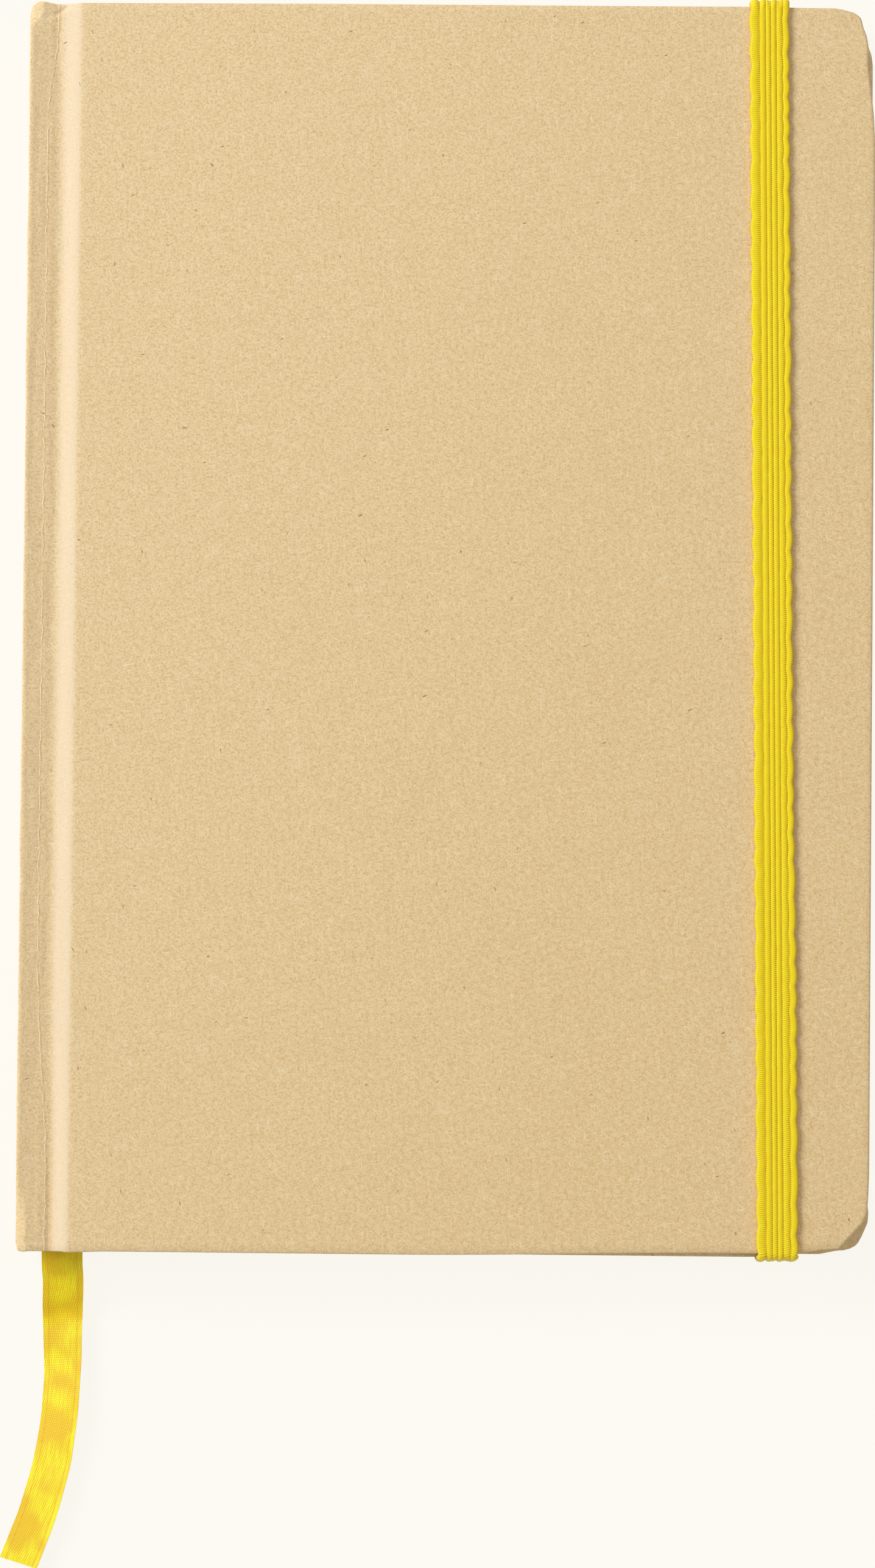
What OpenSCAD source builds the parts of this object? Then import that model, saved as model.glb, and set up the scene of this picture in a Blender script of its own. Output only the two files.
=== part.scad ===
// Hardcover notebook, A5 class, closed and lying on its back cover.
// X runs from the spine to the fore-edge, Y from the tail to the head, Z up through the front cover.
// The origin is under the middle of the closed notebook, on the surface that it lies on.
// Covers, spine and joints are drawn once for the back half and mirrored for the front half.

/* [Covers] */
// Width of the closed case, from the spine's outer face to the fore-edge
cover_w = 145; // [125:1:170]
// Height of the case, from tail to head
cover_h = 213.4; // [180:0.2:250]
// Radius of the rounded corners at the fore-edge
corner_r = 7.5; // [4:0.5:12]
// Thickness of the grey boards
board_t = 2; // [1.6:0.1:3]
// Thickness of the kraft paper that wraps the boards
wrap_t = 0.2; // [0.1:0.05:0.3]
// Rounding of the wrapped board edges
edge_r = 0.35; // [0.2:0.05:0.6]
// Width of the paper turned in over the boards' inner faces
turn_in = 15; // [10:1:20]

/* [Spine and joints] */
// Thickness of the card that stiffens the spine
spine_card_t = 1; // [0.5:0.1:1.6]
// Air left between the spine's inner face and the ribbon glued to the back of the pages
hollow = 0.1; // [0.05:0.05:0.6]
// Thickness of the paper glued over the back of the pages
lining_t = 0.2; // [0.1:0.05:0.4]
// Length of bare page back that the lining leaves at head and tail
lining_short = 8; // [4:1:20]
// How far the spine's ridges lie below the outer faces of the boards
ridge_drop = 0.4; // [0.2:0.1:0.8]
// Rounding of the spine's two long ridges
ridge_r = 0.8; // [0.4:0.1:1.2]
// Distance from the spine's outer face to the boards' inner edges
board_set = 8.8; // [7.5:0.1:11]
// Distance from the spine's outer face to the bottom of the joint groove
groove_set = 5.2; // [4:0.1:6.5]
// Depth of the joint groove below the outer face of the board
groove_d = 1.5; // [1.2:0.1:2.4]

/* [Pages] */
// Number of ruled leaves
leaves = 80; // [56:8:120]
// Thickness of one leaf
leaf_t = 0.1125; // [0.09:0.0025:0.14]
// How far the covers stand out past the pages at head, tail and fore-edge
overhang = 3; // [2:0.5:5]
// Radius of the pages' rounded corners
page_corner_r = 6; // [3:0.5:10]
// Thickness of the endpapers
endpaper_t = 0.15; // [0.1:0.05:0.25]
// Gap between a pastedown and its flyleaf
fold_gap = 0.1; // [0.05:0.05:0.3]
// Bare margin of turned-in paper that the pastedowns leave round the boards
paste_margin = 2.5; // [1.5:0.5:5]

/* [Elastic band] */
// Width of the band
elastic_w = 6.6; // [5:0.1:9]
// Thickness of the band, over its ribs
elastic_t = 0.9; // [0.7:0.05:1.1]
// Number of covered rubber cords side by side in the band
elastic_cords = 6; // [5:1:9]
// Width of each cord
elastic_cord_w = 0.85; // [0.5:0.05:1]
// Thickness of the woven web between the cords
elastic_web = 0.6; // [0.4:0.05:0.65]
// Distance from the fore-edge to the middle of the band
elastic_set = 16.7; // [12:0.1:30]
// Angle at which the band lies across the covers, away from square to their edges
elastic_slant = 0.72; // [0:0.02:1.5]
// Distance from the head or tail edge to the slit that takes the band in
slit_set = 12; // [8:0.5:20]
// Length of the band's glued ends inside the back cover
tab_l = 20; // [10:1:30]

/* [Ribbon marker] */
// Width of the ribbon
ribbon_w = 7; // [5:0.5:8]
// Thickness of the ribbon
ribbon_t = 0.3; // [0.2:0.05:0.4]
// Distance from the spine's outer face to the middle of the ribbon
ribbon_set = 7.5; // [7:0.5:20]
// Height of the ribbon's place between the leaves, above the last leaf
ribbon_up = 2.3; // [1:0.1:3.5]
// Length of the ribbon's end that is glued to the back of the pages
ribbon_glue = 15; // [8:1:30]

/* [Hidden] */

$fn = 48;

// Running clearance of the band on the covers, and of the ribbon in the pages
seat_gap = 0.02;
slit_gap = 0.3;

// Heights, counted up from the surface; the front half mirrors the back half about z_mid
z_back = elastic_t + seat_gap;
z_board = z_back + wrap_t;
z_inner = z_board + board_t;
cover_t = board_t + 2 * wrap_t;
z_fly = z_inner + wrap_t + endpaper_t + fold_gap;
z_pages = z_fly + endpaper_t;
pages_t = leaves * leaf_t;
z_mid = z_pages + pages_t / 2;
z_front = 2 * z_mid - z_back;

// Places along X, counted from the spine's outer face
spine_in = 2 * wrap_t + spine_card_t;
pages_x = spine_in + hollow + ribbon_t + lining_t;
pages_w = cover_w - overhang - pages_x;
pages_h = cover_h - 2 * overhang;
board_w = cover_w - board_set;
elastic_x = cover_w - elastic_set;

// The band's path: bends of one radius round the case's edges and through the slits
bend_r = edge_r + elastic_t / 2;
elastic_y = (cover_h / 2 + elastic_w / 2 * sin(elastic_slant)) / cos(elastic_slant)
    + seat_gap + elastic_t / 2;
elastic_low = elastic_t / 2;
elastic_high = z_front + seat_gap + elastic_t / 2;
slit_y = cover_h / 2 - slit_set;
slit_half = elastic_t / 2 + slit_gap;
tab_z = z_inner - seat_gap - elastic_t / 2;

ribbon_z = z_pages + ribbon_up;
joint_t = wrap_t + endpaper_t;
joint_steps = 12;

// The ribbon's free end, point by point: how far to the right of its place in the pages, how far
// beyond their tail, its height as a share of the way down to the surface, and how far its
// right edge is turned up, in degrees
ribbon_route = [
    [0, 0, 1, 0], [0, 2, 0.98, 0], [0, 4, 0.95, 0], [0, 6, 0.87, 0], [0.1, 8, 0.74, 2],
    [0.1, 10.5, 0.53, 4], [0.1, 13, 0.33, 7], [0.2, 15.5, 0.18, 10], [0.2, 18, 0.08, 14],
    [0.2, 21, 0.02, 18], [0.2, 24, 0, 20], [0, 28, 0, 21], [-0.5, 33, 0, 21],
    [-1.35, 38.5, 0, 18], [-2.7, 44, 0, 14], [-4.3, 49, 0, 10], [-5.8, 53, 0, 7],
    [-7.3, 57, 0, 4]
];

// Everything is drawn from the spine's outer face, and this brings it to the notebook's middle
module in_place() translate([-cover_w / 2, 0, 0]) children();

module front_half() translate([0, 0, 2 * z_mid]) mirror([0, 0, 1]) children();

// Head and tail copies of what is drawn for the head
module head_and_tail() {
    children();
    mirror([0, 1, 0]) children();
}

// A sheet's outline: square at the spine side, rounded corners at the fore-edge
module sheet_outline(w, h, r) {
    translate([0, -h / 2]) square([w - r, h]);
    translate([0, -h / 2 + r]) square([w, h - 2 * r]);
    for (side = [-1, 1]) translate([w - r, side * (h / 2 - r)]) circle(r = r);
}

// Half section of a wrapped board at its edge: reach r, thickness t, rounded by e
module edge_section(r, t, e) {
    square([r - e, t]);
    translate([0, e]) square([r, t - 2 * e]);
    for (z = [e, t - e]) translate([r - e, z]) circle(r = e);
}

// A wrapped board, with its edges rounded at head, tail and fore-edge
module wrapped_board(w, h, r, t, e) {
    translate([0, -h / 2 + r, 0]) cube([w - r, h - 2 * r, t]);
    translate([w - r, h / 2 - r, 0]) rotate([90, 0, 0]) linear_extrude(h - 2 * r)
        edge_section(r, t, e);
    head_and_tail() {
        translate([0, h / 2 - r, 0]) rotate([90, 0, 90]) linear_extrude(w - r)
            edge_section(r, t, e);
        translate([w - r, h / 2 - r, 0]) rotate_extrude(angle = 90)
            intersection() {
                edge_section(r, t, e);
                square([r, t]);
            }
    }
}

// The part of a board's inner face that the turned-in paper leaves bare
module bare_window(inset = 0) {
    w = board_w - turn_in - inset;
    h = cover_h - 2 * turn_in - 2 * inset;
    translate([-board_set, -h / 2]) square([w + board_set, h]);
}

module plain_board() {
    translate([board_set, 0, z_board]) linear_extrude(board_t)
        sheet_outline(board_w - wrap_t, cover_h - 2 * wrap_t, corner_r - wrap_t);
}

// The line of the band across the covers, where it and its slits are drawn
module on_band_line() {
    translate([elastic_x, 0, 0]) rotate([0, 0, elastic_slant]) children();
}

// Room for the band's two ends: a slit through the cover, and a pressed bed for the glued tab
module elastic_slits() {
    slot_w = elastic_w + 2 * slit_gap;
    bed_l = tab_l + bend_r + seat_gap;
    on_band_line() head_and_tail() {
        translate([-slot_w / 2, slit_y - slit_half, 0])
            cube([slot_w, 2 * slit_half, z_inner + wrap_t + seat_gap]);
        translate([-slot_w / 2, slit_y - bed_l, tab_z - elastic_t / 2 - seat_gap])
            cube([slot_w, bed_l, elastic_t + wrap_t + 2 * seat_gap + endpaper_t]);
    }
}

module cover_skin() {
    difference() {
        translate([board_set, 0, z_back])
            wrapped_board(board_w, cover_h, corner_r, cover_t, edge_r);
        plain_board();
        translate([board_set, 0, z_inner - board_t / 2]) linear_extrude(board_t)
            bare_window();
    }
}

// One folded sheet: the pastedown, pressed in between the turned-in edges, and the flyleaf
module endpaper() {
    paste_w = board_w - paste_margin;
    paste_h = cover_h - 2 * paste_margin;
    paste_t = wrap_t + endpaper_t;
    fly_z = z_fly - z_inner;
    translate([board_set, 0, z_inner]) {
        difference() {
            linear_extrude(paste_t) sheet_outline(paste_w, paste_h, corner_r - paste_margin);
            translate([0, 0, endpaper_t]) linear_extrude(paste_t) bare_window(endpaper_t);
            difference() {
                translate([-paste_w, -paste_h, 0]) cube([3 * paste_w, 2 * paste_h, wrap_t]);
                linear_extrude(paste_t) bare_window();
            }
        }
        translate([0, 0, fly_z]) linear_extrude(endpaper_t)
            sheet_outline(pages_x + pages_w - board_set, pages_h, page_corner_r);
        translate([0, -pages_h / 2, 0]) cube([endpaper_t, pages_h, fly_z + endpaper_t]);
    }
}

// Depth of the joint paper's outer face below the board's outer face, at distance x
function joint_dip(x) = x < groove_set
    ? ridge_drop + (groove_d - ridge_drop)
        * (1 - cos(180 * (x - spine_in) / (groove_set - spine_in))) / 2
    : groove_d * (1 + cos(180 * (x - groove_set) / (board_set - groove_set))) / 2;

// The paper hinge between the spine and a board, sunk into the joint groove
module joint_strip() {
    span = board_set - spine_in;
    outer = [for (i = [0:joint_steps]) let (x = spine_in + span * i / joint_steps)
        [x, z_back + joint_dip(x)]];
    inner = [for (i = [joint_steps:-1:0]) outer[i] + [0, joint_t]];
    rotate([90, 0, 0]) linear_extrude(cover_h, center = true) polygon(concat(outer, inner));
}

module front_board() color("gray") front_half() plain_board();

module back_board() color("gray") difference() {
    plain_board();
    elastic_slits();
}

module front_cover_paper() color("burlywood") front_half() cover_skin();

module back_cover_paper() color("burlywood") difference() {
    cover_skin();
    elastic_slits();
}

module front_endpaper() color("ivory") front_half() endpaper();

module back_endpaper() color("ivory") endpaper();

module front_joint_paper() color("tan") front_half() joint_strip();

module back_joint_paper() color("tan") joint_strip();

module spine_card() {
    low = z_back + ridge_drop + wrap_t;
    h = cover_h - 2 * wrap_t;
    color("gray") translate([wrap_t, -h / 2, low])
        cube([spine_card_t, h, 2 * (z_mid - low)]);
}

// The wrap over the spine card: outer face, both ridges, and the ends turned in at head and tail
module spine_paper() {
    low = z_back + ridge_drop;
    tall = 2 * (z_mid - low);
    card_h = cover_h - 2 * wrap_t;
    open_h = cover_h - 2 * turn_in;
    color("burlywood") translate([0, 0, low]) difference() {
        rotate([90, 0, 0]) linear_extrude(cover_h, center = true) {
            translate([ridge_r, 0]) square([spine_in - ridge_r, tall]);
            translate([0, ridge_r]) square([ridge_r, tall - 2 * ridge_r]);
            for (z = [ridge_r, tall - ridge_r]) translate([ridge_r, z]) circle(r = ridge_r);
        }
        translate([wrap_t, -card_h / 2, wrap_t])
            cube([spine_card_t, card_h, tall - 2 * wrap_t]);
        translate([wrap_t, -open_h / 2, wrap_t])
            cube([2 * spine_in, open_h, tall - 2 * wrap_t]);
    }
}

// The ruled leaves, glued along the spine, with the ribbon's place between two of them
module page_block() {
    slot_t = ribbon_t + 2 * seat_gap;
    slot_w = ribbon_w + 2 * seat_gap;
    color("white") difference() {
        translate([pages_x, 0, z_pages]) linear_extrude(pages_t)
            sheet_outline(pages_w, pages_h, page_corner_r);
        translate([ribbon_set - slot_w / 2, -cover_h, ribbon_z - slot_t / 2])
            cube([slot_w, 2 * cover_h, slot_t]);
    }
}

module spine_lining() {
    h = pages_h - 2 * lining_short;
    color("wheat") translate([pages_x - lining_t, -h / 2, z_pages]) cube([lining_t, h, pages_t]);
}

// The band's path is drawn flat, with Y across and Z up, as a line of thickness t
module path_along(y, z, l, t) {
    translate([y, z - t / 2]) square([l, t]);
}

module path_up(y, z, l, t) {
    translate([y - t / 2, z]) square([t, l]);
}

// A quarter bend about a centre at (y, z), starting at the angle from, counted from +Y towards +Z
module path_bend(y, z, from, t) {
    translate([y, z]) intersection() {
        difference() {
            circle(r = bend_r + t / 2);
            circle(r = bend_r - t / 2);
        }
        rotate(from) square(2 * bend_r);
    }
}

// Round the case, in through the slits, and flat under the pastedown
module elastic_path(t) {
    turn_y = elastic_y - bend_r;
    run_l = turn_y - slit_y - bend_r;
    path_along(-turn_y, elastic_high, 2 * turn_y, t);
    for (side = [0, 1]) mirror([side, 0]) {
        path_bend(turn_y, elastic_high - bend_r, 0, t);
        path_up(elastic_y, elastic_low + bend_r, elastic_high - elastic_low - 2 * bend_r, t);
        path_bend(turn_y, elastic_low + bend_r, -90, t);
        path_along(slit_y + bend_r, elastic_low, run_l, t);
        path_bend(slit_y + bend_r, elastic_low + bend_r, 180, t);
        path_up(slit_y, elastic_low + bend_r, tab_z - elastic_low - 2 * bend_r, t);
        path_bend(slit_y - bend_r, tab_z - bend_r, 0, t);
        path_along(slit_y - bend_r - tab_l, tab_z, tab_l, t);
    }
}

// A stripe of the band, w wide and t thick, along its whole path
module elastic_stripe(w, t) {
    rotate([90, 0, 90]) linear_extrude(w, center = true) elastic_path(t);
}

// The woven web, and the covered rubber cords that stand proud of it on both faces
module elastic_band() {
    pitch = (elastic_w - elastic_cord_w) / (elastic_cords - 1);
    color("gold") on_band_line() {
        elastic_stripe(elastic_w - elastic_cord_w, elastic_web);
        for (i = [0:elastic_cords - 1])
            translate([(i - (elastic_cords - 1) / 2) * pitch, 0, 0])
                elastic_stripe(elastic_cord_w, elastic_t);
    }
}

// The ribbon inside the notebook: glued to the back of the pages at the head, folded over their
// head edge, and laid between two leaves down to the tail
module ribbon_marker() {
    fold_w = min(ribbon_w, pages_t - ribbon_up);
    glue_x = pages_x - lining_t - ribbon_t;
    color("gold") {
        translate([ribbon_set - ribbon_w / 2, -pages_h / 2, ribbon_z - ribbon_t / 2])
            cube([ribbon_w, pages_h + ribbon_t, ribbon_t]);
        translate([glue_x, pages_h / 2, ribbon_z - ribbon_t / 2])
            cube([ribbon_set + ribbon_w / 2 - glue_x, ribbon_t, fold_w - ribbon_t]);
        translate([glue_x, pages_h / 2 - ribbon_glue, ribbon_z - ribbon_t / 2])
            cube([ribbon_t, ribbon_glue + ribbon_t, fold_w - ribbon_t]);
    }
}

// One ring of the ribbon's flat section: eight corners, turned up at the right by its tilt
function ribbon_ring(p, heading) =
    let (w = ribbon_w / 2, t = ribbon_t / 2, b = ribbon_t / 3,
         lying_z = seat_gap + t + w * sin(p[3]), z = lying_z + p[2] * (ribbon_z - lying_z))
    [for (c = [[-w, -t + b], [-w + b, -t], [w - b, -t], [w, -t + b],
               [w, t - b], [w - b, t], [-w + b, t], [-w, t - b]])
        let (across = c[0] * cos(p[3]) - c[1] * sin(p[3]),
             up = c[0] * sin(p[3]) + c[1] * cos(p[3]))
        [ribbon_set + p[0] + across * cos(heading),
         -pages_h / 2 - p[1] + across * sin(heading), z + up]];

// The free end of the ribbon, drooping over the tail of the cover and lying in a slow curve
module ribbon_tail() {
    last = len(ribbon_route) - 1;
    rings = [for (i = [0:last])
        let (before = ribbon_route[max(i - 1, 0)], after = ribbon_route[min(i + 1, last)],
             heading = i == 0 ? 0 : atan2(after[0] - before[0], after[1] - before[1]))
        ribbon_ring(ribbon_route[i], heading)];
    sides = len(rings[0]);
    walls = [for (i = [0:last - 1], k = [0:sides - 1])
        let (a = i * sides + k, b = i * sides + (k + 1) % sides)
        each [[a, b, b + sides], [a, b + sides, a + sides]]];
    ends = [[for (k = [sides - 1:-1:0]) k], [for (k = [0:sides - 1]) last * sides + k]];
    color("gold") polyhedron([for (ring = rings) each ring], concat(walls, ends));
}

in_place() {
    page_block();
    spine_lining();
    spine_card();
    spine_paper();
    front_joint_paper();
    back_joint_paper();
    front_board();
    front_cover_paper();
    front_endpaper();
    back_board();
    back_cover_paper();
    back_endpaper();
    elastic_band();
    ribbon_marker();
    ribbon_tail();
}
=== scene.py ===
import math

import bpy
from mathutils import Matrix, Vector, noise


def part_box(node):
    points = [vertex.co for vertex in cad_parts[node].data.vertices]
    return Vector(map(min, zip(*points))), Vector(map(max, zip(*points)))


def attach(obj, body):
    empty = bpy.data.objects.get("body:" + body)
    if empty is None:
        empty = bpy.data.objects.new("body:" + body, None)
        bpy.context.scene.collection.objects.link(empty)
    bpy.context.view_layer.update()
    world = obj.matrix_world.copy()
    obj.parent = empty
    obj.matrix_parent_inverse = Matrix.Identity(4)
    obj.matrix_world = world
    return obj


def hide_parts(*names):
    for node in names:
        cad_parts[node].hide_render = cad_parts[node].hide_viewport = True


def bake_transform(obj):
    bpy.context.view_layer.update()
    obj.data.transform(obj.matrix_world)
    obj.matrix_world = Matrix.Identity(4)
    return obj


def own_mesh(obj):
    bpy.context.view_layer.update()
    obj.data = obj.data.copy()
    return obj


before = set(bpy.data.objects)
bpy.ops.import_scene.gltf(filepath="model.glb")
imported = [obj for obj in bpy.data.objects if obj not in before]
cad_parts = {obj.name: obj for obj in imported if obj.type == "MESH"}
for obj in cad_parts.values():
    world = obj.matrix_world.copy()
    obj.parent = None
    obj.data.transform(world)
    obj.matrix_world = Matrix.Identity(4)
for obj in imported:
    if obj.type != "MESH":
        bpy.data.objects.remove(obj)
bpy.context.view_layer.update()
scene = bpy.context.scene
scene.view_settings.view_transform = "Standard"

MM = 0.001


# Measures: millimetres, X counted from the spine's outer face, Y and Z as in the frame

def box_mm(node):
    """A CAD node's lowest and highest corner in millimetres, X counted from the spine."""
    spine_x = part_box("spine_paper")[0].x
    return [Vector(((p.x - spine_x) / MM, p.y / MM, p.z / MM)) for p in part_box(node)]


SPINE_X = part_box("spine_paper")[0].x / MM
spine_high = box_mm("spine_paper")[1]
front_low, front_high = box_mm("front_cover_paper")
back_low, back_high = box_mm("back_cover_paper")
block_low, block_high = box_mm("page_block")
band_low, band_high = box_mm("elastic_band")
ribbon_low = box_mm("ribbon_marker")[0]

COVER_W = front_high.x
HALF_H = front_high.y
BOARD_X = front_low.x
COVER_T = front_high.z - front_low.z
FRONT_Z = front_high.z
MID_Z = (front_high.z + back_low.z) / 2
RIDGE_Z = spine_high.z
SPINE_T = spine_high.x

WRAP_T = 0.18
EDGE_R = 0.35
TURN_IN = 15
RIDGE_R = 0.35
SPINE_SET = 0.3
GROOVE_X = 5.5
GROOVE_D = 1.15
GROOVE_END = 9.8
CREASE_X = 3.6
JOINT_T = 0.5
PAPER_T = 0.14

BAND_X = (band_low.x + band_high.x) / 2 - 0.18
BAND_SLANT = math.radians(0.72)
BAND_T = 0.9
BAND_BEND = EDGE_R + BAND_T / 2
SLIT_W = 7.2
SLIT_H = 1.5
SLIT_SET = 12
SLIT_Y = HALF_H - SLIT_SET
TAB_L = 20


def place(x, y, z):
    """A point in the frame, in metres, from millimetres with X counted from the spine."""
    return ((x + SPINE_X) * MM, y * MM, z * MM)


def smooth(low, high, value):
    """0 below low, 1 above high, and a soft step between them; high may lie below low."""
    t = min(max((value - low) / (high - low), 0), 1)
    return t * t * (3 - 2 * t)


def steps(start, stop, size):
    """Even steps from start to stop, both included, each about size long."""
    count = max(1, round(abs(stop - start) / size))
    return [start + (stop - start) * i / count for i in range(count + 1)]


def bell(value, width):
    return math.exp(-((value / width) ** 2))


def rounding(distance, radius):
    """How far a rounded corner is cut back at a distance in from its side."""
    over = max(0, radius - distance)
    return radius - math.sqrt(radius ** 2 - over ** 2)


def wander(x, y, seed):
    """Smooth noise between about -1 and 1, the same on each run."""
    return noise.noise(Vector((x, y, seed)))


# Mesh helpers

def add_mesh(name, points, faces, uvs=None):
    """A smooth-shaded mesh from points in millimetres; uvs holds one pair for each point."""
    mesh = bpy.data.meshes.new(name)
    mesh.from_pydata([place(*p) for p in points], [], faces)
    if uvs:
        layer = mesh.uv_layers.new(name="sheet")
        for loop in mesh.loops:
            layer.data[loop.index].uv = uvs[loop.vertex_index]
    mesh.validate()
    mesh.shade_smooth()
    mesh.update()
    obj = bpy.data.objects.new(name, mesh)
    scene.collection.objects.link(obj)
    return obj


def bridge(first, second, count, closed=False):
    """Quads between two rows of points that start at the indices first and second."""
    last = count if closed else count - 1
    return [
        (first + i, first + (i + 1) % count, second + (i + 1) % count, second + i)
        for i in range(last)
    ]


def tube(ring, rings, start=0):
    """Faces of a closed tube: rings of points, ring points in each, with its two ends."""
    faces = []
    for n in range(rings - 1):
        faces += bridge(start + n * ring, start + (n + 1) * ring, ring, closed=True)
    last = start + (rings - 1) * ring
    faces.append(tuple(start + i for i in reversed(range(ring))))
    faces.append(tuple(last + i for i in range(ring)))
    return faces


def running_lengths(line):
    """Length so far at each point of a line, over the first two values of each point."""
    lengths = [0.0]
    for a, b in zip(line, line[1:]):
        lengths.append(lengths[-1] + math.hypot(b[0] - a[0], b[1] - a[1]))
    return lengths


def sharpen(obj, degrees):
    """Keeps the edges sharp where faces meet at more than this angle."""
    obj.data.set_sharp_from_angle(angle=math.radians(degrees))


def apply_modifiers(obj):
    """Makes what the modifiers build the object's own mesh."""
    graph = bpy.context.evaluated_depsgraph_get()
    built = bpy.data.meshes.new_from_object(obj.evaluated_get(graph))
    obj.modifiers.clear()
    obj.data = built


def thicken(obj, thickness):
    """Gives a sheet its real thickness, on the side away from its normals."""
    solid = obj.modifiers.new("thickness", "SOLIDIFY")
    solid.thickness = thickness * MM
    solid.offset = -1
    apply_modifiers(obj)


# Camera, fitted to the outline of the front cover in the photograph

CAMERA_AT = (0.0301, -0.0718, 1.0140)
CAMERA_TILT = (0.04499, 0.03123, 0.00794)
FOCAL_PX = 9665.8
PHOTO_H_PX = 2576


def make_camera():
    data = bpy.data.cameras.new("camera")
    data.sensor_width = 36
    data.lens = FOCAL_PX * data.sensor_width / PHOTO_H_PX
    data.clip_start = 0.05
    camera = bpy.data.objects.new("camera", data)
    turn = Matrix.Identity(3)
    for angle, axis in zip(CAMERA_TILT, "XYZ"):
        turn = turn @ Matrix.Rotation(angle, 3, axis)
    camera.matrix_world = Matrix.Translation(CAMERA_AT) @ turn.to_4x4()
    scene.collection.objects.link(camera)
    scene.camera = camera


make_camera()


# Ribbon marker: the free end, along the same points as the CAD solid

RIBBON_W = 7.0
RIBBON_T = 0.28
RIBBON_SET = 7.5
RIBBON_Z = (ribbon_low.z * 2 + 0.3) / 2
RIBBON_LIFT = 0.02
RIBBON_CUT = -5.5

# Along the ribbon, where each is nil and where it is full: waves near the pages and near the
# end, the lie on the floor, and the slanted cut
WAVES_FROM = (2, 9)
WAVES_TO = (58, 46)
LIES_FROM = (14, 26)
CUT_FROM = (52, 58)

# To the right, beyond the pages' tail, share of the way down, right edge turned up in degrees
RIBBON_ROUTE = [
    (0, 0, 1, 0), (0, 2, 0.98, 0), (0, 4, 0.95, 0), (0, 6, 0.87, 0), (0.1, 8, 0.74, 2),
    (0.05, 10.5, 0.53, 4), (-0.1, 13, 0.33, 7), (-0.15, 15.5, 0.18, 10), (-0.1, 18, 0.08, 14),
    (-0.05, 21, 0.02, 18), (-0.05, 24, 0, 20), (-0.2, 28, 0, 21), (-0.65, 33, 0, 21),
    (-1.45, 38.5, 0, 19), (-2.75, 44, 0, 17), (-4.25, 49, 0, 16), (-5.75, 53, 0, 15),
    (-7.3, 57, 0, 14),
]


def ribbon_point(entry):
    """Centre of the ribbon at a route entry, with the tilt of its section in radians."""
    side, beyond, share, tilt = entry
    tilt = math.radians(tilt)
    lying = RIBBON_LIFT + RIBBON_T / 2 + RIBBON_W / 2 * math.sin(tilt)
    return (RIBBON_SET + side, block_low.y - beyond,
            lying + share * (RIBBON_Z - lying), tilt)


def spline(rows, t):
    """A smooth curve through the rows, at t counted in rows."""
    i = min(int(t), len(rows) - 2)
    f = t - i
    a, b, c, d = (rows[min(max(k, 0), len(rows) - 1)] for k in range(i - 1, i + 3))
    return [
        0.5 * (2 * q + (r - p) * f + (2 * p - 5 * q + 4 * r - s) * f * f
               + (3 * q - p - 3 * r + s) * f ** 3)
        for p, q, r, s in zip(a, b, c, d)
    ]


def ribbon_frame(rows, t):
    """At t in rows along the ribbon: its centre, and the ways forward, right and up."""
    x, y, z, tilt = spline(rows, t)
    ahead = Vector(spline(rows, min(t + 0.05, len(rows) - 1))[:3])
    behind = Vector(spline(rows, max(t - 0.05, 0))[:3])
    forward = (ahead - behind).normalized()
    flat = Vector((forward.x, forward.y, 0)).normalized()
    right = Vector((-flat.y, flat.x, 0)) * math.cos(tilt) + Vector((0, 0, math.sin(tilt)))
    up = right.cross(forward)
    if up.z < 0:
        up.negate()
    return (x, y, z), forward, right, up


def make_ribbon_tail():
    rows = [ribbon_point(entry) for entry in RIBBON_ROUTE]
    across = steps(-1, 1, 0.08)
    path, points, uvs, along = [], [], [], 0.0
    times = steps(0, len(rows) - 1, 1 / 9)
    for t in times:
        centre, forward, right, up = ribbon_frame(rows, t)
        if path:
            along += (Vector(centre) - Vector(path[-1])).length
        path.append(centre)
        slack = smooth(*WAVES_FROM, along) * smooth(*WAVES_TO, along)
        lying = smooth(*LIES_FROM, along)
        cut = math.tan(math.radians(RIBBON_CUT)) * smooth(*CUT_FROM, along)
        for side in (1, -1):
            for c in across if side > 0 else reversed(across):
                w = c * RIBBON_W / 2
                lift = 0.16 * slack * math.sin(along * 0.72 + c * 0.7) * (1 - 0.7 * lying)
                lift += 0.10 * slack * wander(along * 0.16, c * 0.8, 3)
                edge = 0.5 * bell(c - 1, 0.12) * lying + 0.12 * bell(abs(c) - 1, 0.06)
                thick = side * RIBBON_T / 2 * (1 - 0.55 * abs(c) ** 10)
                p = Vector(centre) + right * w + up * (thick + lift + edge * 0.5)
                p += forward * (w * cut)
                points.append(p)
                uvs.append((w, along))
    low = min(p.z for p in points)
    lift = max(0, RIBBON_LIFT - low)
    points = [(p.x, p.y, p.z + lift * smooth(8, 20, block_low.y - p.y)) for p in points]
    obj = add_mesh("ribbon_tail_satin", points, tube(2 * len(across), len(times)), uvs)
    sharpen(obj, 50)
    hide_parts("ribbon_tail")
    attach(obj, "text_block")
    return obj


ribbon_tail = make_ribbon_tail()


# Kraft case: one sheet over the spine, the joint and the board, drawn for the front half

def joint_dip(x):
    """Depth of the case's outer face below the board's, between the ridge and the board."""
    drop = FRONT_Z - RIDGE_Z
    slope = 0.48 * max(0, min(x, CREASE_X) - 0.8) / (CREASE_X - 0.8)
    if x < GROOVE_X:
        return drop + slope + (GROOVE_D - drop - 0.48) * smooth(CREASE_X, GROOVE_X, x)
    return GROOVE_D * (1 - smooth(GROOVE_X, GROOVE_END, x))


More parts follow.
